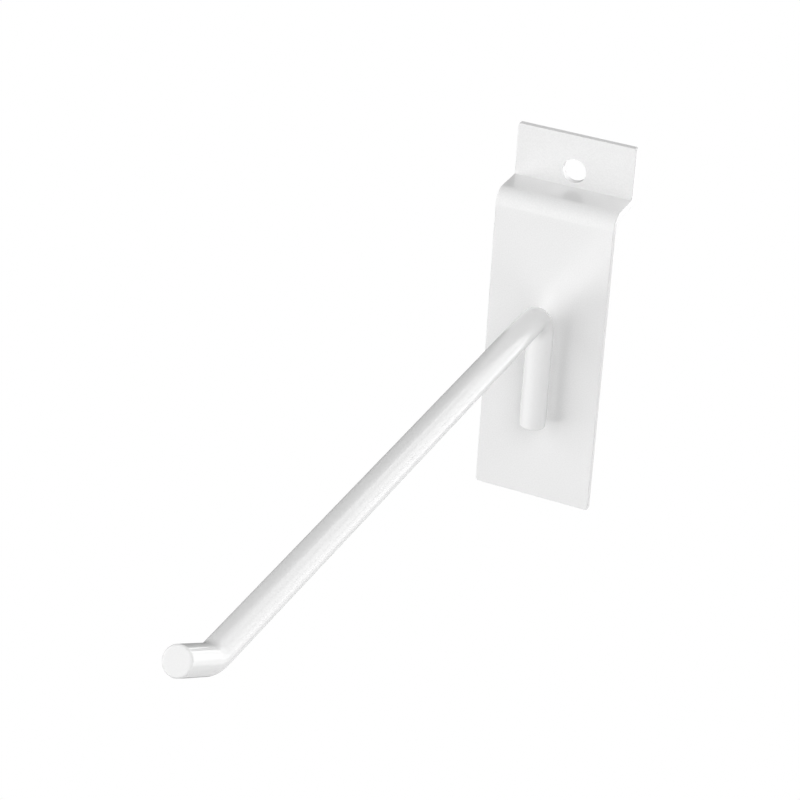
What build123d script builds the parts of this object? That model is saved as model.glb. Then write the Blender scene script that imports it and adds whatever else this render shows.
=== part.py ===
"""Slatwall hook: a folded back plate that hangs in a panel groove, and a bent round prong welded to it.

Millimetres. X runs across the plate, +Y points back to the wall panel and +Z is up. The origin lies on the
back face of the lower plate, at mid width, level with the centreline of the prong's arm.
"""
import math
import os

from build123d import *

os.makedirs("parts", exist_ok=True)

# Back plate: overall sizes of the folded strip
plate_height = 86.6
plate_width = 28.0
sheet_thickness = 1.5
flange_height = 12.2
edge_rounding = 0.2
corner_radius = 0.6

# Step of the strip, from the front face of the lower plate to the front face of the flange
step_depth = 10.4
fold_angle = 90.0
front_bend_outer_radius = 3.5
flange_bend_inner_radius = 0.3

# Round hole in the flange, measured up from the web
hole_radius = 2.8
hole_above_web = 3.8

# Prong: wire, leg and the height of its arm above the plate's lower edge
wire_radius = 3.0
arm_height = 49.2
leg_length = 28.9
leg_bend_angle = 90.0
leg_bend_inner_radius = 3.2
weld_set_down = 0.1
leg_end_rounding = 0.4

# Raised tip
prong_reach = 168.8
tip_angle = 30.0
tip_bend_inner_radius = 5.0
tip_straight = 12.0
tip_end_rounding = 0.5

# Straight part of the web, and how far it and its two bends climb
fold_rad = math.radians(fold_angle)
bend_radii = front_bend_outer_radius + flange_bend_inner_radius
web_run = (step_depth - bend_radii * (1 - math.cos(fold_rad))) / math.sin(fold_rad)
fold_rise = bend_radii * math.sin(fold_rad) + web_run * math.cos(fold_rad)

# Heights of the strip's edges and faces, from the arm's centreline
plate_bottom_z = -arm_height
flange_top_z = plate_bottom_z + plate_height
web_top_z = flange_top_z - flange_height
hole_z = web_top_z + hole_above_web
front_top_z = web_top_z + flange_bend_inner_radius - fold_rise
plate_front_y = -sheet_thickness
flange_front_y = plate_front_y + step_depth

# Centreline of the wire: leg, bend, level arm, bend and tip
leg_bend_rad = math.radians(leg_bend_angle)
tip_rad = leg_bend_rad - math.radians(tip_angle)
leg_bend_radius = leg_bend_inner_radius + wire_radius
tip_bend_radius = tip_bend_inner_radius + wire_radius
leg_y = plate_front_y - wire_radius + weld_set_down
leg_top_z = -leg_bend_radius * math.sin(leg_bend_rad)
leg_bend_run = leg_bend_radius * (1 - math.cos(leg_bend_rad))
tip_bend_run = tip_bend_radius * (math.cos(tip_rad) - math.cos(leg_bend_rad))
tip_end_y = plate_front_y - prong_reach
bent_runs = leg_bend_run + tip_bend_run + tip_straight * math.sin(tip_rad)
arm_run = (leg_y - tip_end_y - bent_runs) / math.sin(leg_bend_rad)

front_plane = Plane(origin=(0, plate_front_y, 0), x_dir=(1, 0, 0), z_dir=(0, -1, 0))
flange_plane = Plane(origin=(0, flange_front_y, hole_z), x_dir=(1, 0, 0), z_dir=(0, -1, 0))

# Back plate: one strip folded twice, up from the lower plate, back over the groove edge and up again
with BuildPart() as back_plate:
    with BuildSketch(Plane.YZ):
        with BuildLine():
            # Front and upper side of the sheet, with its thickness laid behind
            front = Line((plate_front_y, plate_bottom_z), (plate_front_y, front_top_z))
            front_bend = JernArc(start=front @ 1, tangent=front % 1, radius=front_bend_outer_radius,
                                 arc_size=-fold_angle)
            web = Line(front_bend @ 1, front_bend @ 1 + front_bend % 1 * web_run)
            crease = JernArc(start=web @ 1, tangent=web % 1, radius=flange_bend_inner_radius,
                             arc_size=fold_angle)
            Line(crease @ 1, (flange_front_y, flange_top_z))
            offset(amount=sheet_thickness, side=Side.RIGHT)
        make_face()
    extrude(amount=plate_width / 2, both=True)
    with Locations(flange_plane):
        Hole(radius=hole_radius)
    # Rounded corners at both free ends of the strip
    free_corners = back_plate.edges().filter_by(Axis.Y).filter_by(lambda e: e.length < 2 * sheet_thickness)
    fillet(free_corners, radius=corner_radius)
    # Softened edges all along the cut outline
    ends = back_plate.faces().filter_by(Axis.Z).sort_by(Axis.Z)
    cut_faces = back_plate.faces().filter_by(Axis.X) + ends[:1] + ends[-1:]
    fillet(cut_faces.edges(), radius=edge_rounding)

# Prong: one round wire with a short leg, a square bend, a long level arm and a raised tip
with BuildPart() as prong:
    with BuildLine(Plane.YZ) as centreline:
        leg = Line((leg_y, -leg_length), (leg_y, leg_top_z))
        leg_bend = JernArc(start=leg @ 1, tangent=leg % 1, radius=leg_bend_radius, arc_size=leg_bend_angle)
        arm = Line(leg_bend @ 1, leg_bend @ 1 + leg_bend % 1 * arm_run)
        tip_bend = JernArc(start=arm @ 1, tangent=arm % 1, radius=tip_bend_radius, arc_size=-tip_angle)
        Line(tip_bend @ 1, tip_bend @ 1 + tip_bend % 1 * tip_straight)
    with BuildSketch(Plane(origin=(0, leg_y, -leg_length), z_dir=(0, 0, 1))):
        Circle(wire_radius)
    sweep()
    leg_rim = prong.edges().filter_by(GeomType.CIRCLE).sort_by(Axis.Z)[0]
    tip_rim = prong.edges().filter_by(GeomType.CIRCLE).sort_by(Axis.Y)[0]
    fillet(leg_rim, radius=leg_end_rounding)
    fillet(tip_rim, radius=tip_end_rounding)
    # The weld presses the leg a little way down onto the sheet
    split(bisect_by=front_plane, keep=Keep.TOP)

back_plate.part.label = "back_plate"
prong.part.label = "prong"
export_step(back_plate.part, "parts/back_plate.step")
export_step(prong.part, "parts/prong.step")
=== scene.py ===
"""Slatwall hook: looks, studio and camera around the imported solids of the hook.

Metres. X runs across the plate, +Y points back to the wall panel and +Z is up.
"""

import math

import bmesh
import bpy
from bpy.props import FloatProperty, FloatVectorProperty, IntProperty, PointerProperty
from mathutils import Matrix, Vector


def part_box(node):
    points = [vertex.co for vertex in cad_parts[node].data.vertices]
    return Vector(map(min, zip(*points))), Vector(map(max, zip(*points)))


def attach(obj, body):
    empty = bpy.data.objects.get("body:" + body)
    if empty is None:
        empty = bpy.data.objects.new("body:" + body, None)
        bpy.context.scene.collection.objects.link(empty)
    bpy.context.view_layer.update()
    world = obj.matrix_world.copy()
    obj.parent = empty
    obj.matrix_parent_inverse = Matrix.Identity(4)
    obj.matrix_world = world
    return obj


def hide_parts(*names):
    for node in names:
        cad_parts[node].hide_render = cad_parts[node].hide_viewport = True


bl_info = {
    "name": "Slatwall hook",
    "version": (1, 0, 0),
    "blender": (4, 5, 0),
    "location": "View3D > Sidebar > Slatwall Hook",
    "description": "Builds a white powder coated slatwall hook with its studio and camera",
    "category": "Object",
}

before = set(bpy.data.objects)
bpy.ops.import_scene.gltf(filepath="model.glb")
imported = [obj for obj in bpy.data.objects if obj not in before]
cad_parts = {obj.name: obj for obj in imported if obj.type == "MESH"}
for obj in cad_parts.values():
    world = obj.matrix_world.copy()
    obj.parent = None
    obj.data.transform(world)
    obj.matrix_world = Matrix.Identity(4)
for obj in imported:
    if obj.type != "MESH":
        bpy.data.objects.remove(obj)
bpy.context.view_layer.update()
PLATE_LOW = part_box("back_plate")[0]
PRONG_LOW, PRONG_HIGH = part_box("prong")

MM = 0.001
BODY = "root"

# Powder coat: the span of a noise that counts, the detail of each noise, and the slow drift over the piece
COAT_IOR = 1.5
NOISE_SPAN = (0.3, 0.7)
PEEL_DETAIL = 1.5
GRAIN_DETAIL = 2.0
DRIFT_DETAIL = 3.0
DRIFT_SCALE = 70.0
DRIFT_TINT = 0.01
GLOSS_DRIFT = 0.12

# Fine grain: its share of the relief, the share of the colour that it takes away, and the relief's depth
PLATE_GRAIN = (0.5, 0.06, 0.002 * MM)
WIRE_GRAIN = (0.6, 0.025, 0.0006 * MM)

# Raised tip: the straight wire past its bend, the bend's radius on the centreline, and the rise
TIP_STRAIGHT = 12.0 * MM
TIP_BEND = 8.0 * MM
TIP_ANGLE = math.radians(30.0)

# Cut ends of the wire: steps over the rounded rim, and the margin of the flat as a share of the rounding
RIM_STEPS = 8
END_MARGIN = 1.0 / 3.0

# Lamps: name, turn from the front and rise in degrees, then distance, width, height and power in watts
LAMPS = (
    ("Left lamp", -60.0, 22.0, 1.0, 1.0, 0.8, 5.6),
    ("Low left lamp", -60.0, -18.0, 1.0, 1.0, 0.6, 6.3),
    ("Right lamp", 45.0, 0.0, 0.9, 0.8, 0.8, 2.5),
    ("High right lamp", 40.0, 42.0, 0.9, 0.6, 0.6, 3.7),
    ("Low front lamp", 20.0, -45.0, 0.7, 0.6, 0.5, 0.38),
    ("Back right lamp", 148.0, -12.0, 0.9, 0.62, 0.35, 1.15),
    ("Level back lamp", 148.0, 12.0, 0.9, 0.62, 0.35, 1.25),
    ("High back lamp", 148.0, 35.0, 0.9, 0.62, 0.35, 0.72),
    ("Top back lamp", 140.0, 50.0, 0.9, 0.8, 0.6, 1.0),
    ("Low back lamp", 140.0, -32.0, 0.8, 0.32, 0.32, 0.28),
    ("Low rear lamp", 180.0, -12.0, 0.9, 0.32, 0.32, 0.93),
    ("Rear lamp", 180.0, 28.0, 0.9, 0.32, 0.32, 0.22),
    ("High rear lamp", 180.0, 48.0, 0.9, 0.32, 0.32, 0.15),
)

# The point that every lamp faces, and the turn in degrees past which a lamp stands behind the hook
LIT_POINT = Vector((0.0, -0.05, 0.0))
SIDE_TURN = 90.0

# Standing cards: name, left foot, right foot and height. Lying cards: name and two opposite corners
CARDS = (
    ("Back left card", (-1.25, -0.1, -0.46), (-0.05, 1.2, -0.46), 1.5),
    ("High back card", (-0.35, 0.95, 0.35), (0.12, 0.95, 0.35), 0.6),
)
LOW_CARDS = (
    ("Left low card", (-1.3, -0.35), (-0.15, 1.15)),
    ("Front low card", (-1.3, -1.2), (0.3, -0.35)),
)
CARD_LIFT = 0.02
CARD_GREY = 0.2

# Floor: its own white is weakest below the hook, so the shadow stays. It grows to full between two
# distances from the origin, each given as what it adds to the floor's depth
FLOOR_RADIUS = 6.0
FLOOR_SIDES = 96
FLOOR_GREY = 0.8
FLOOR_ROUGHNESS = 0.9
WHITE_BELOW = 0.75
WHITE_START = 0.03
WHITE_FULL = 0.11

SENSOR_WIDTH = 36.0


class CoatSettings(bpy.types.PropertyGroup):
    """Colour and grain of the white powder coat."""

    colour: FloatVectorProperty(
        name="Colour", description="Colour of the powder coat", subtype="COLOR", size=3,
        default=(0.86, 0.86, 0.86), min=0.0, max=1.0)
    plate_roughness: FloatProperty(
        name="Plate roughness", description="Roughness of the coat on the folded plate",
        subtype="FACTOR", default=0.08, min=0.0, max=1.0)
    wire_roughness: FloatProperty(
        name="Wire roughness", description="Roughness of the coat on the round wire",
        subtype="FACTOR", default=0.16, min=0.0, max=1.0)
    peel_size: FloatProperty(
        name="Peel size", description="Width of one swell of the orange peel", unit="LENGTH",
        default=1.6 * MM, min=0.1 * MM)
    grain_size: FloatProperty(
        name="Grain size", description="Width of one grain of the powder", unit="LENGTH",
        default=0.3 * MM, min=0.02 * MM)


class WireSettings(bpy.types.PropertyGroup):
    """Sizes of the bent wire."""

    wire_radius: FloatProperty(
        name="Wire radius", description="Radius of the round wire", unit="LENGTH",
        default=PRONG_HIGH.x, min=0.5 * MM)
    leg_length: FloatProperty(
        name="Leg length", description="Height of the arm's centreline above the cut end of the leg",
        unit="LENGTH", default=-PRONG_LOW.z, min=10.0 * MM)
    leg_depth: FloatProperty(
        name="Leg depth", description="Distance of the leg's centreline from the wall plane",
        unit="LENGTH", default=4.4 * MM)
    leg_bend: FloatProperty(
        name="Leg bend", description="Radius of the centreline between leg and arm", unit="LENGTH",
        default=6.2 * MM)
    reach: FloatProperty(
        name="Reach", description="Distance of the cut end of the tip from the wall plane",
        unit="LENGTH", default=170.29 * MM)
    tip_length: FloatProperty(
        name="Tip length", description="Length of the raised tip from the corner of its bend",
        unit="LENGTH", default=TIP_STRAIGHT + TIP_BEND * math.tan(TIP_ANGLE / 2.0))
    tip_angle: FloatProperty(
        name="Tip angle", description="Rise of the tip above the level arm", subtype="ANGLE",
        default=TIP_ANGLE)
    tip_bend: FloatProperty(
        name="Tip bend", description="Radius of the centreline between arm and tip", unit="LENGTH",
        default=TIP_BEND)
    leg_rounding: FloatProperty(
        name="Leg rounding", description="Rounding of the rim of the leg's cut end", unit="LENGTH",
        default=0.4 * MM)
    tip_rounding: FloatProperty(
        name="Tip rounding", description="Rounding of the rim of the tip's cut end", unit="LENGTH",
        default=0.5 * MM)
    sides: IntProperty(
        name="Sides", description="Number of flats round the wire", default=96, min=12)
    bend_steps: IntProperty(
        name="Bend steps", description="Number of steps in each bend", default=48, min=4)


class StageSettings(bpy.types.PropertyGroup):
    """Floor, even light and camera."""

    floor_drop: FloatProperty(
        name="Floor drop", description="Depth of the floor below the hook's lowest point",
        unit="LENGTH", default=0.45, min=0.0)
    ambient: FloatProperty(
        name="Ambient", description="Strength of the even light from all round", default=0.14, min=0.0)
    camera_azimuth: FloatProperty(
        name="Camera azimuth", description="Turn of the camera from the front towards the right",
        subtype="ANGLE", default=math.radians(23.44))
    camera_height: FloatProperty(
        name="Camera elevation", description="Angle of the camera above the level", subtype="ANGLE",
        default=math.radians(29.168))
    camera_roll: FloatProperty(
        name="Camera roll", description="Tilt of the camera about its own line of sight",
        subtype="ANGLE", default=math.radians(3.139))
    camera_distance: FloatProperty(
        name="Camera distance", description="Distance from the camera to its target", unit="LENGTH",
        default=596.0 * MM)
    camera_target: FloatVectorProperty(
        name="Camera target", description="Point that the camera looks at", subtype="TRANSLATION",
        size=3, default=(-24.51 * MM, -24.12 * MM, -19.72 * MM))
    lens: FloatProperty(
        name="Lens", description="Focal length on a 36 mm sensor", default=120.34, min=1.0)


def link_nodes(tree, pairs):
    """Joins (node, output) to (node, input) for each pair."""
    for (source, out_name), (target, in_name) in pairs:
        tree.links.new(source.outputs[out_name], target.inputs[in_name])


def feed(tree, value, target):
    """Gives an input a number, or joins it to another node's output."""
    if isinstance(value, bpy.types.NodeSocket):
        tree.links.new(value, target)
    else:
        target.default_value = value


def calc(tree, operation, first, second=None):
    """Result of a Math node on one or two values, each an output or a number."""
    node = tree.nodes.new("ShaderNodeMath")
    node.operation = operation
    feed(tree, first, node.inputs[0])
    if second is not None:
        feed(tree, second, node.inputs[1])
    return node.outputs["Value"]


def map_range(tree, value, before, after):
    """Value carried from one range, given as its low and high end, to another."""
    node = tree.nodes.new("ShaderNodeMapRange")
    labels = ("Value", "From Min", "From Max", "To Min", "To Max")
    for label, part in zip(labels, (value, *before, *after)):
        feed(tree, part, node.inputs[label])
    return node.outputs["Result"]


def noise(tree, place, scale, detail):
    """Noise over the given place, with its scale an output or a number."""
    node = tree.nodes.new("ShaderNodeTexNoise")
    tree.links.new(place, node.inputs["Vector"])
    feed(tree, scale, node.inputs["Scale"])
    node.inputs["Detail"].default_value = detail
    return node.outputs["Fac"]


def coat_surface_group():
    """Node group: colour, roughness and height of a powder coat from its swell and grain sizes."""
    name = "Powder coat surface"
    if name in bpy.data.node_groups:
        return bpy.data.node_groups[name]
    group = bpy.data.node_groups.new(name, "ShaderNodeTree")
    for label, side, kind in (
            ("Colour", "INPUT", "NodeSocketColor"), ("Roughness", "INPUT", "NodeSocketFloat"),
            ("Peel Scale", "INPUT", "NodeSocketFloat"), ("Grain Scale", "INPUT", "NodeSocketFloat"),
            ("Grain Share", "INPUT", "NodeSocketFloat"), ("Grain Tint", "INPUT", "NodeSocketFloat"),
            ("Drift Tint", "INPUT", "NodeSocketFloat"), ("Colour", "OUTPUT", "NodeSocketColor"),
            ("Roughness", "OUTPUT", "NodeSocketFloat"), ("Height", "OUTPUT", "NodeSocketFloat")):
        group.interface.new_socket(name=label, in_out=side, socket_type=kind)
    given = group.nodes.new("NodeGroupInput").outputs
    result = group.nodes.new("NodeGroupOutput").inputs
    place = group.nodes.new("ShaderNodeTexCoord").outputs["Object"]
    peel = noise(group, place, given["Peel Scale"], PEEL_DETAIL)
    grain = noise(group, place, given["Grain Scale"], GRAIN_DETAIL)
    drift = noise(group, place, DRIFT_SCALE, DRIFT_DETAIL)

    # Colour: a little darker in the hollows of the grain and of the drift
    drift_dark = calc(group, "SUBTRACT", 1.0, given["Drift Tint"])
    grain_dark = calc(group, "SUBTRACT", 1.0, given["Grain Tint"])
    drift_shade = map_range(group, drift, NOISE_SPAN, (drift_dark, 1.0))
    grain_shade = map_range(group, grain, NOISE_SPAN, (grain_dark, 1.0))
    tint = group.nodes.new("ShaderNodeVectorMath")
    tint.operation = "SCALE"
    group.links.new(given["Colour"], tint.inputs["Vector"])
    group.links.new(calc(group, "MULTIPLY", drift_shade, grain_shade), tint.inputs["Scale"])
    group.links.new(tint.outputs["Vector"], result["Colour"])

    # Roughness: drifts to both sides of the given one
    glossiest = calc(group, "MULTIPLY", given["Roughness"], 1.0 - GLOSS_DRIFT)
    dullest = calc(group, "MULTIPLY", given["Roughness"], 1.0 + GLOSS_DRIFT)
    group.links.new(map_range(group, drift, NOISE_SPAN, (glossiest, dullest)), result["Roughness"])

    # Height: the slow swell with a share of the fine grain
    relief = group.nodes.new("ShaderNodeMix")
    relief.data_type = "FLOAT"
    group.links.new(given["Grain Share"], relief.inputs["Factor"])
    group.links.new(peel, relief.inputs["A"])
    group.links.new(grain, relief.inputs["B"])
    group.links.new(relief.outputs["Result"], result["Height"])
    return group


def coat_material(name, roughness, grain_share, grain_tint, depth):
    """White powder coat with the given roughness, share and tint of its fine grain, and bump depth."""
    coat = bpy.context.scene.hook_coat
    material = bpy.data.materials.new(name)
    material.use_nodes = True
    tree = material.node_tree
    shader = tree.nodes["Principled BSDF"]
    shader.inputs["IOR"].default_value = COAT_IOR
    surface = tree.nodes.new("ShaderNodeGroup")
    surface.node_tree = coat_surface_group()
    for label, value in (
            ("Colour", (*coat.colour, 1.0)),
            ("Roughness", roughness),
            ("Peel Scale", 1.0 / coat.peel_size),
            ("Grain Scale", 1.0 / coat.grain_size),
            ("Grain Share", grain_share),
            ("Grain Tint", grain_tint),
            ("Drift Tint", DRIFT_TINT)):
        surface.inputs[label].default_value = value
    bump = tree.nodes.new("ShaderNodeBump")
    bump.inputs["Distance"].default_value = depth
    link_nodes(tree, (
        ((surface, "Colour"), (shader, "Base Color")),
        ((surface, "Roughness"), (shader, "Roughness")),
        ((surface, "Height"), (bump, "Height")),
        ((bump, "Normal"), (shader, "Normal")),
    ))
    return material


class HOOK_OT_back_plate(bpy.types.Operator):
    """Gives the folded back plate its powder coat"""

    bl_idname = "hook.back_plate"
    bl_label = "Back plate"

    def execute(self, context):
        coat = context.scene.hook_coat
        material = coat_material("Plate powder coat", coat.plate_roughness, *PLATE_GRAIN)
        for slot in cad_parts["back_plate"].material_slots:
            slot.material = material
        return {"FINISHED"}


def bent_wire_tree():
    """Geometry nodes: a wire that runs up the leg, along the level arm and out to the raised tip."""
    tree = bpy.data.node_groups.new("Bent wire", "GeometryNodeTree")
    for label, kind in (
            ("Wire Radius", "NodeSocketFloat"), ("Leg Length", "NodeSocketFloat"),
            ("Leg Depth", "NodeSocketFloat"), ("Leg Bend", "NodeSocketFloat"),
            ("Reach", "NodeSocketFloat"), ("Tip Length", "NodeSocketFloat"),
            ("Tip Angle", "NodeSocketFloat"), ("Tip Bend", "NodeSocketFloat"),
            ("Sides", "NodeSocketInt"), ("Bend Steps", "NodeSocketInt"),
            ("Material", "NodeSocketMaterial")):
        tree.interface.new_socket(name=label, in_out="INPUT", socket_type=kind)
    tree.interface.new_socket(name="Geometry", in_out="OUTPUT", socket_type="NodeSocketGeometry")
    given = tree.nodes.new("NodeGroupInput")
    result = tree.nodes.new("NodeGroupOutput")

    def point(y, z=None):
        """Point in the middle plane of the hook, level with the arm where no z is given."""
        node = tree.nodes.new("ShaderNodeCombineXYZ")
        tree.links.new(y, node.inputs["Y"])
        if z is not None:
            tree.links.new(z, node.inputs["Z"])
        return node.outputs["Vector"]

    # Corners of the centreline: foot of the leg, leg bend, tip bend and end of the tip
    tip_length, tip_angle = given.outputs["Tip Length"], given.outputs["Tip Angle"]
    leg_y = calc(tree, "MULTIPLY", given.outputs["Leg Depth"], -1.0)
    leg_z = calc(tree, "MULTIPLY", given.outputs["Leg Length"], -1.0)
    tip_y = calc(tree, "MULTIPLY", given.outputs["Reach"], -1.0)
    tip_z = calc(tree, "MULTIPLY", tip_length, calc(tree, "SINE", tip_angle))
    tip_run = calc(tree, "MULTIPLY", tip_length, calc(tree, "COSINE", tip_angle))
    corners = (point(leg_y, leg_z), point(leg_y), point(calc(tree, "ADD", tip_y, tip_run)),
               point(tip_y, tip_z))
    route = tree.nodes.new("GeometryNodeCurvePrimitiveQuadrilateral")
    route.mode = "POINTS"
    for number, corner in enumerate(corners, 1):
        tree.links.new(corner, route.inputs["Point %d" % number])
    opened = tree.nodes.new("GeometryNodeSetSplineCyclic")

    # Corners 0 and 1 take the leg's bend, 2 and 3 the tip's
    order = tree.nodes.new("GeometryNodeInputIndex")
    bend_radius = tree.nodes.new("GeometryNodeSwitch")
    bend_radius.input_type = "FLOAT"
    at_tip = calc(tree, "GREATER_THAN", order.outputs["Index"], 1.5)
    tree.links.new(at_tip, bend_radius.inputs["Switch"])
    rounded = tree.nodes.new("GeometryNodeFilletCurve")
    rounded.mode = "POLY"

    section = tree.nodes.new("GeometryNodeCurvePrimitiveCircle")
    tube = tree.nodes.new("GeometryNodeCurveToMesh")
    tube.inputs["Fill Caps"].default_value = True
    smooth = tree.nodes.new("GeometryNodeSetShadeSmooth")
    realized = tree.nodes.new("GeometryNodeRealizeInstances")
    coated = tree.nodes.new("GeometryNodeSetMaterial")
    link_nodes(tree, (
        ((given, "Leg Bend"), (bend_radius, "False")),
        ((given, "Tip Bend"), (bend_radius, "True")),
        ((route, "Curve"), (opened, "Geometry")),
        ((opened, "Geometry"), (rounded, "Curve")),
        ((given, "Bend Steps"), (rounded, "Count")),
        ((bend_radius, "Output"), (rounded, "Radius")),
        ((given, "Sides"), (section, "Resolution")),
        ((given, "Wire Radius"), (section, "Radius")),
        ((rounded, "Curve"), (tube, "Curve")),
        ((section, "Curve"), (tube, "Profile Curve")),
        ((tube, "Mesh"), (smooth, "Geometry")),
        ((smooth, "Geometry"), (realized, "Geometry")),
        ((realized, "Geometry"), (coated, "Geometry")),
        ((given, "Material"), (coated, "Material")),
        ((coated, "Geometry"), (result, "Geometry")),
    ))
    return tree


def mesh_from_tree(name, tree, values):
    """Plain mesh object at the origin that holds what the tree makes from the named values."""
    carrier = bpy.data.objects.new(name, bpy.data.meshes.new(name))
    bpy.context.scene.collection.objects.link(carrier)
    modifier = carrier.modifiers.new(tree.name, "NODES")
    modifier.node_group = tree
    for item in tree.interface.items_tree:
        if item.in_out == "INPUT":
            modifier[item.identifier] = values[item.name]
    graph = bpy.context.evaluated_depsgraph_get()
    made = bpy.data.meshes.new_from_object(carrier.evaluated_get(graph), depsgraph=graph)
    carrier.modifiers.remove(modifier)
    carrier.data = made
    if len(made.polygons) == 0:
        raise RuntimeError("the tree %s made no faces" % tree.name)
    return carrier


def end_face(shape, outwards):
    """Flat of the wire's cut end that faces outwards, the only kind of face with more than four corners."""
    shape.normal_update()
    flats = (face for face in shape.faces if len(face.verts) > 4)
    return max(flats, key=lambda face: face.normal.dot(outwards))


def round_end(shape, outwards, size):
    """Rounds the rim of the cut end that faces outwards, and keeps a flat margin inside it."""
    rim = end_face(shape, outwards).edges[:]
    made = bmesh.ops.bevel(shape, geom=rim, offset=size, segments=RIM_STEPS, profile=0.5, affect="EDGES")
    for face in made["faces"]:
        face.smooth = True
    bmesh.ops.inset_region(shape, faces=[end_face(shape, outwards)], thickness=size * END_MARGIN)


class HOOK_OT_prong(bpy.types.Operator):
    """Bends the wire of the prong, rounds its cut ends and gives it its powder coat"""

    bl_idname = "hook.prong"
    bl_label = "Prong"

    def execute(self, context):
        coat = context.scene.hook_coat
        wire = context.scene.hook_wire
        material = coat_material("Wire powder coat", coat.wire_roughness, *WIRE_GRAIN)
        prong = mesh_from_tree("prong_wire", bent_wire_tree(), {
            "Wire Radius": wire.wire_radius,
            "Leg Length": wire.leg_length,
            "Leg Depth": wire.leg_depth,
            "Leg Bend": wire.leg_bend,
            "Reach": wire.reach,
            "Tip Length": wire.tip_length,
            "Tip Angle": wire.tip_angle,
            "Tip Bend": wire.tip_bend,
            "Sides": wire.sides,
            "Bend Steps": wire.bend_steps,
            "Material": material,
        })
        shape = bmesh.new()
        shape.from_mesh(prong.data)
        round_end(shape, Vector((0.0, 0.0, -1.0)), wire.leg_rounding)
        tip_way = Vector((0.0, -math.cos(wire.tip_angle), math.sin(wire.tip_angle)))
        round_end(shape, tip_way, wire.tip_rounding)
        # The weld presses the leg flat onto the plate's face
        for corner in shape.verts:
            corner.co.y = min(corner.co.y, PLATE_LOW.y)
        bmesh.ops.recalc_face_normals(shape, faces=shape.faces)
        shape.to_mesh(prong.data)
        shape.free()
        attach(prong, BODY)
        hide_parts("prong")
        return {"FINISHED"}


def away_from_hook(turn, rise):
    """Direction from the hook: turn from the front towards the right, rise above the level."""
    return Vector((math.sin(turn) * math.cos(rise), -math.cos(turn) * math.cos(rise), math.sin(rise)))


def add_lamp(name, turn, rise, distance, width, tall, watts):
    """Soft lamp that faces the hook from that direction; one in front leaves no image in the gloss."""
    away = away_from_hook(math.radians(turn), math.radians(rise))
    light = bpy.data.lights.new(name, "AREA")
    light.shape = "RECTANGLE"
    light.size = width
    light.size_y = tall
    light.energy = watts
    lamp = bpy.data.objects.new(name, light)
    lamp.location = LIT_POINT + away * distance
    lamp.visible_camera = False
    lamp.visible_glossy = abs(turn) > SIDE_TURN
    lamp.rotation_euler = (-away).to_track_quat("-Z", "Y").to_euler()
    bpy.context.scene.collection.objects.link(lamp)


def card_material():
    """Dull dark grey paper of the studio cards."""
    name = "Card paper"
    if name in bpy.data.materials:
        return bpy.data.materials[name]
    material = bpy.data.materials.new(name)
    material.use_nodes = True
    paper = material.node_tree.nodes["Principled BSDF"]
    paper.inputs["Base Color"].default_value = (CARD_GREY, CARD_GREY, CARD_GREY, 1.0)
    paper.inputs["Roughness"].default_value = 1.0
    return material


def add_card(name, corners):
    """Dark studio card that shows only in the gloss of the hook."""
    mesh = bpy.data.meshes.new(name)
    mesh.from_pydata([Vector(corner) for corner in corners], [], [(0, 1, 2, 3)])
    mesh.materials.append(card_material())
    card = bpy.data.objects.new(name, mesh)
    card.visible_camera = False
    bpy.context.scene.collection.objects.link(card)


def standing(left, right, tall):
    """Corners of an upright card over the line from left to right."""
    rise = Vector((0.0, 0.0, tall))
    left, right = Vector(left), Vector(right)
    return left, right, right + rise, left + rise


def lying(low, high, z):
    """Corners of a card that lies at height z between two corners."""
    return (low[0], low[1], z), (high[0], low[1], z), (high[0], high[1], z), (low[0], high[1], z)


def seen_as_background(tree):
    """Value of 1 for rays from the camera, a mirror or glass, and 0 for the light on the hook."""
    path = tree.nodes.new("ShaderNodeLightPath").outputs
    mirrored = calc(tree, "MAXIMUM", path["Is Camera Ray"], path["Is Glossy Ray"])
    return calc(tree, "MAXIMUM", mirrored, path["Is Transmission Ray"])


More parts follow.
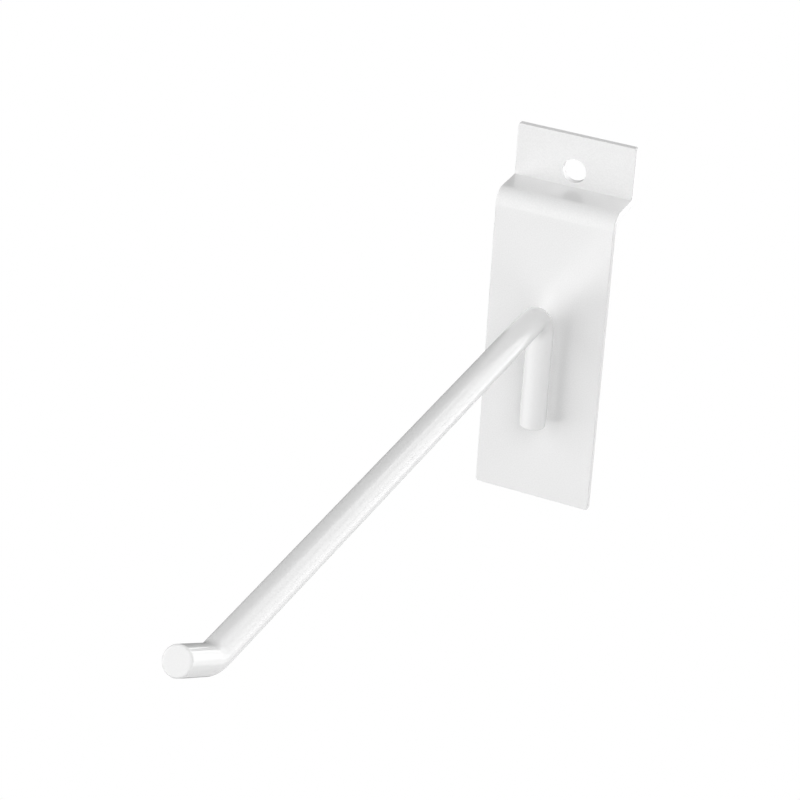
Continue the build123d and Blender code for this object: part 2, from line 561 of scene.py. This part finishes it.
class HOOK_OT_stage(bpy.types.Operator):
    """Makes the pale floor, the soft studio light and the camera"""

    bl_idname = "hook.stage"
    bl_label = "Studio and camera"

    def execute(self, context):
        scene = context.scene
        stage = scene.hook_stage
        floor_z = PLATE_LOW.z - stage.floor_drop
        scene.view_settings.view_transform = "Standard"
        self.add_world(scene, stage)
        self.add_floor(scene, floor_z)
        for lamp in LAMPS:
            add_lamp(*lamp)
        for name, left, right, tall in CARDS:
            add_card(name, standing(left, right, tall))
        for name, low, high in LOW_CARDS:
            add_card(name, lying(low, high, floor_z + CARD_LIFT))
        self.add_camera(scene, stage)
        return {"FINISHED"}

    def add_world(self, scene, stage):
        """Even light from all round, white where it is seen."""
        world = bpy.data.worlds.new("Studio")
        scene.world = world
        world.use_nodes = True
        tree = world.node_tree
        sky = tree.nodes["Background"]
        sky.inputs["Color"].default_value = (1.0, 1.0, 1.0, 1.0)
        level = map_range(tree, seen_as_background(tree), (0.0, 1.0), (stage.ambient, 1.0))
        tree.links.new(level, sky.inputs["Strength"])

    def add_floor(self, scene, floor_z):
        """Pale paper floor that turns white where it is seen away from the hook's shadow."""
        mesh = bpy.data.meshes.new("Floor")
        shape = bmesh.new()
        bmesh.ops.create_circle(shape, cap_ends=True, segments=FLOOR_SIDES, radius=FLOOR_RADIUS)
        bmesh.ops.translate(shape, verts=shape.verts, vec=(0.0, 0.0, floor_z))
        shape.to_mesh(mesh)
        shape.free()
        floor = bpy.data.objects.new("Floor", mesh)
        scene.collection.objects.link(floor)
        material = bpy.data.materials.new("Floor paper")
        material.use_nodes = True
        tree = material.node_tree
        paper = tree.nodes["Principled BSDF"]
        paper.inputs["Base Color"].default_value = (FLOOR_GREY, FLOOR_GREY, FLOOR_GREY, 1.0)
        paper.inputs["Roughness"].default_value = FLOOR_ROUGHNESS
        place = tree.nodes.new("ShaderNodeTexCoord")
        reach = tree.nodes.new("ShaderNodeVectorMath")
        reach.operation = "LENGTH"
        far = map_range(tree, reach.outputs["Value"], (WHITE_START - floor_z, WHITE_FULL - floor_z),
                        (WHITE_BELOW, 1.0))
        glow = tree.nodes.new("ShaderNodeEmission")
        blend = tree.nodes.new("ShaderNodeMixShader")
        tree.links.new(calc(tree, "MULTIPLY", seen_as_background(tree), far), blend.inputs["Fac"])
        link_nodes(tree, (
            ((place, "Object"), (reach, 0)),
            ((paper, "BSDF"), (blend, 1)),
            ((glow, "Emission"), (blend, 2)),
            ((blend, "Shader"), (tree.nodes["Material Output"], "Surface")),
        ))
        mesh.materials.append(material)

    def add_camera(self, scene, stage):
        """Camera on its line of sight through the target, tilted by its roll."""
        back = away_from_hook(stage.camera_azimuth, stage.camera_height)
        level = (-back).cross(Vector((0.0, 0.0, 1.0))).normalized()
        upright = back.cross(level)
        right = math.cos(stage.camera_roll) * level + math.sin(stage.camera_roll) * upright
        up = back.cross(right)
        camera = bpy.data.objects.new("Camera", bpy.data.cameras.new("Camera"))
        camera.data.lens = stage.lens
        camera.data.sensor_width = SENSOR_WIDTH
        place = Vector(stage.camera_target) + back * stage.camera_distance
        camera.matrix_world = Matrix.Translation(place) @ Matrix((right, up, back)).transposed().to_4x4()
        scene.collection.objects.link(camera)
        scene.camera = camera


class HOOK_PT_panel(bpy.types.Panel):
    """Lists the steps that build the hook"""

    bl_idname = "HOOK_PT_panel"
    bl_label = "Slatwall Hook"
    bl_space_type = "VIEW_3D"
    bl_region_type = "UI"
    bl_category = "Slatwall Hook"

    def draw(self, context):
        for step in STEPS:
            self.layout.operator(step.bl_idname)


STEPS = (HOOK_OT_back_plate, HOOK_OT_prong, HOOK_OT_stage)
SETTINGS = (CoatSettings, WireSettings, StageSettings)
CLASSES = SETTINGS + STEPS + (HOOK_PT_panel,)


def register():
    for item in CLASSES:
        bpy.utils.register_class(item)
    bpy.types.Scene.hook_coat = PointerProperty(type=CoatSettings)
    bpy.types.Scene.hook_wire = PointerProperty(type=WireSettings)
    bpy.types.Scene.hook_stage = PointerProperty(type=StageSettings)


def unregister():
    del bpy.types.Scene.hook_stage
    del bpy.types.Scene.hook_wire
    del bpy.types.Scene.hook_coat
    for item in reversed(CLASSES):
        bpy.utils.unregister_class(item)


def main():
    register()
    bpy.ops.hook.back_plate()
    bpy.ops.hook.prong()
    bpy.ops.hook.stage()


if __name__ == "__main__":
    main()
